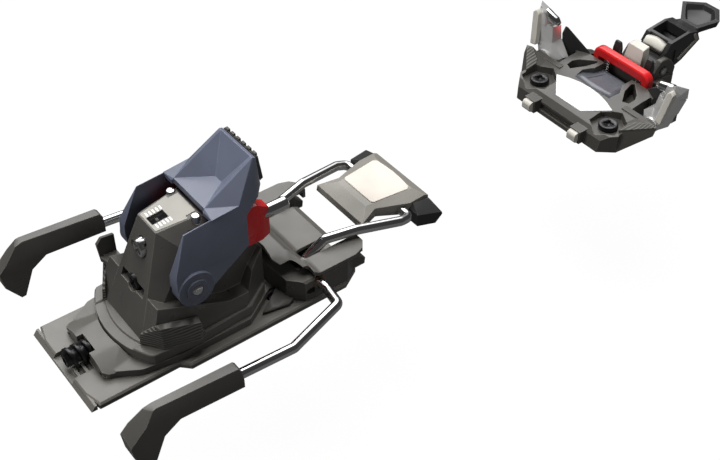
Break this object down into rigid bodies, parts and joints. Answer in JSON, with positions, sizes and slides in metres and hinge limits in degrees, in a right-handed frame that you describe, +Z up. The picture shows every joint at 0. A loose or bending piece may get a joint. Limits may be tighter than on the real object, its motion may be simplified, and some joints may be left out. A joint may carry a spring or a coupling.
{
  "type": "touring binding",
  "caption": "Pin ski touring binding: toe unit with hinged pin wings and lock lever, heel turret with pins, climbing lever and ski brake.",
  "frame": {"origin": "centre of the heel unit's four-screw pattern, on the ski's top surface", "axes": "+X towards the ski tip, +Y towards the ski's left edge, +Z up from the ski"},
  "size_m": [0.4211, 0.1304, 0.0892],
  "materials": {
    "dark_shell": "fine-textured dark warm grey glass-filled nylon, satin",
    "grey_shell": "warm grey glass-filled nylon, satin",
    "grip": "near-black ribbed elastomer",
    "lever_blue": "blue-grey satin nylon",
    "red_part": "signal red satin coat",
    "steel_wire": "hard chromed spring steel",
    "steel_pin": "ground stainless steel",
    "dark_steel": "black phosphated steel",
    "satin_alu": "bead-blasted anodised aluminium",
    "chrome_body": "polished chromed zinc casting",
    "cream_pad": "cream low-friction inlay",
    "treadle_grey": "light warm grey nylon, satin",
    "scale_light": "light warm grey nylon",
    "window_dark": "smoked clear polycarbonate",
    "marker_white": "white marker",
    "badge_white": "plain white gloss panel, blank",
    "window_blue": "smoky blue-grey moulded window",
    "toe_dark": "dark warm grey glass-filled nylon, satin",
    "black_part": "black nylon, satin",
    "bronze": "sintered bronze"
  },
  "bodies": {
    "bases": {"heel_base_plate": "grey_shell", "heel_screws": "dark_steel", "brake_housing": "dark_shell", "housing_feet": "dark_shell", "brake_cover": "grey_shell", "brake_spring": "steel_pin", "brake_bushes": "bronze", "toe_base": "toe_dark", "toe_screws": "dark_steel", "toe_badge": "badge_white", "toe_window": "window_blue", "crampon_sockets": "satin_alu", "toe_side_pads": "grip", "wing_axles": "steel_pin", "wing_covers": "black_part", "trigger_springs": "steel_pin", "lock_axle": "steel_pin", "lock_bracket": "toe_dark", "lock_plate": "satin_alu", "boot_stops": "black_part"},
    "carriage": {"slide_carriage": "grey_shell", "turret_spindle": "steel_pin"},
    "worm": {"adjust_worm": "dark_steel"},
    "turret": {"turret_flange": "grey_shell", "turret_housing": "dark_shell", "scale_plate": "scale_light", "scale_window": "window_dark", "pin_axles": "steel_pin", "side_grips": "grip", "lever_axles": "steel_pin", "vertical_spring": "steel_pin", "lateral_spring": "steel_pin", "lateral_plunger": "steel_pin"},
    "release_crosshead": {"vertical_plunger": "steel_pin"},
    "release_marker": {"scale_pointer": "marker_white"},
    "upper_screw": {"vertical_screw": "steel_pin"},
    "lower_screw": {"lateral_screw": "dark_steel"},
    "pin_carrier_right": {"heel_pin_carrier_right": "red_part", "heel_pin_right": "steel_wire"},
    "pin_carrier_left": {"heel_pin_carrier_left": "red_part", "heel_pin_left": "steel_wire"},
    "climbing_lever": {"climb_lever": "lever_blue", "riser_pad": "grip"},
    "brake_arms": {"brake_wire_right": "steel_wire", "brake_wire_left": "steel_wire", "brake_pad_right": "dark_shell", "brake_pad_left": "dark_shell"},
    "brake_treadle": {"treadle": "treadle_grey", "treadle_pad": "cream_pad", "treadle_lugs": "black_part"},
    "wing_right": {"toe_wing_right": "chrome_body", "wing_arm_right": "satin_alu", "toe_pin_right": "steel_pin"},
    "wing_left": {"toe_wing_left": "chrome_body", "wing_arm_left": "satin_alu", "toe_pin_left": "steel_pin"},
    "trigger": {"trigger_bar": "red_part"},
    "toe_lock_lever": {"toe_lever": "black_part", "lever_insert": "satin_alu", "lever_rails": "scale_light"}
  },
  "joints": [
    {"name": "heel_slide", "type": "slide", "parent": "bases", "child": "carriage", "axis": [1, 0, 0], "range_m": [-0.012, 0]},
    {"name": "worm_spin", "type": "hinge", "parent": "carriage", "child": "worm", "pos_m": [-0.05, 0, 0.0061], "axis": [1, 0, 0], "range_deg": [-1110, 20]},
    {"name": "heel_turn", "type": "hinge", "parent": "carriage", "child": "turret", "pos_m": [0.004, 0, 0.02], "axis": [0, 0, 1], "range_deg": [-20, 20]},
    {"name": "pin_spread_right", "type": "hinge", "parent": "turret", "child": "pin_carrier_right", "pos_m": [0.0017, -0.0104, 0.048], "axis": [0, 0, -1], "range_deg": [0, 4], "deforming": ["vertical_spring"]},
    {"name": "pin_spread_left", "type": "hinge", "parent": "turret", "child": "pin_carrier_left", "pos_m": [0.0017, 0.0104, 0.048], "axis": [0, 0, 1], "range_deg": [0, 4.1]},
    {"name": "crosshead_slide", "type": "slide", "parent": "turret", "child": "release_crosshead", "axis": [-1, 0, 0], "range_m": [0, 0.0007]},
    {"name": "upper_screw_turn", "type": "hinge", "parent": "turret", "child": "upper_screw", "pos_m": [-0.021, 0, 0.0494], "axis": [1, 0, 0], "range_deg": [-720, 720]},
    {"name": "marker_slide", "type": "slide", "parent": "turret", "child": "release_marker", "axis": [1, 0, 0], "range_m": [-0.0022, 0.0022]},
    {"name": "lower_screw_turn", "type": "hinge", "parent": "turret", "child": "lower_screw", "pos_m": [-0.025, 0, 0.032], "axis": [1, 0, 0], "range_deg": [-720, 720]},
    {"name": "climbing_lever_fold", "type": "hinge", "parent": "turret", "child": "climbing_lever", "pos_m": [-0.0096, 0, 0.0376], "axis": [0, -1, 0], "range_deg": [0, 80]},
    {"name": "brake_swing", "type": "hinge", "parent": "bases", "child": "brake_arms", "pos_m": [0.0495, 0, 0.012], "axis": [0, -1, 0], "range_deg": [0, 45]},
    {"name": "treadle_pivot", "type": "hinge", "parent": "brake_arms", "child": "brake_treadle", "pos_m": [0.108, 0, 0.0156], "axis": [0, -1, 0], "range_deg": [-28, 0.5]},
    {"name": "wing_close_right", "type": "hinge", "parent": "bases", "child": "wing_right", "pos_m": [0.266, -0.041, 0.011], "axis": [-1, 0, 0], "range_deg": [0, 22]},
    {"name": "wing_close_left", "type": "hinge", "parent": "bases", "child": "wing_left", "pos_m": [0.266, 0.041, 0.011], "axis": [1, 0, 0], "range_deg": [0, 22.1]},
    {"name": "trigger_press", "type": "slide", "parent": "bases", "child": "trigger", "axis": [0, 0, -1], "range_m": [0, 0.0061], "deforming": ["trigger_springs"]},
    {"name": "toe_lever_pull", "type": "hinge", "parent": "bases", "child": "toe_lock_lever", "pos_m": [0.302, 0, 0.013], "axis": [0, -1, 0], "range_deg": [-12, 25]}
  ],
  "couplings": [
    {"joint": "worm_spin", "follows": "heel_slide", "rad_per_m": 1570.8},
    {"joint": "pin_spread_left", "follows": "pin_spread_right", "ratio": 1},
    {"joint": "crosshead_slide", "follows": "pin_spread_right", "m_per_rad": 0.0086},
    {"joint": "marker_slide", "follows": "upper_screw_turn", "m_per_rad": 0.00015915},
    {"joint": "treadle_pivot", "follows": "brake_swing", "ratio": -0.6},
    {"joint": "wing_close_left", "follows": "wing_close_right", "ratio": 1},
    {"joint": "trigger_press", "follows": "wing_close_right", "m_per_rad": 0.0156}
  ]
}
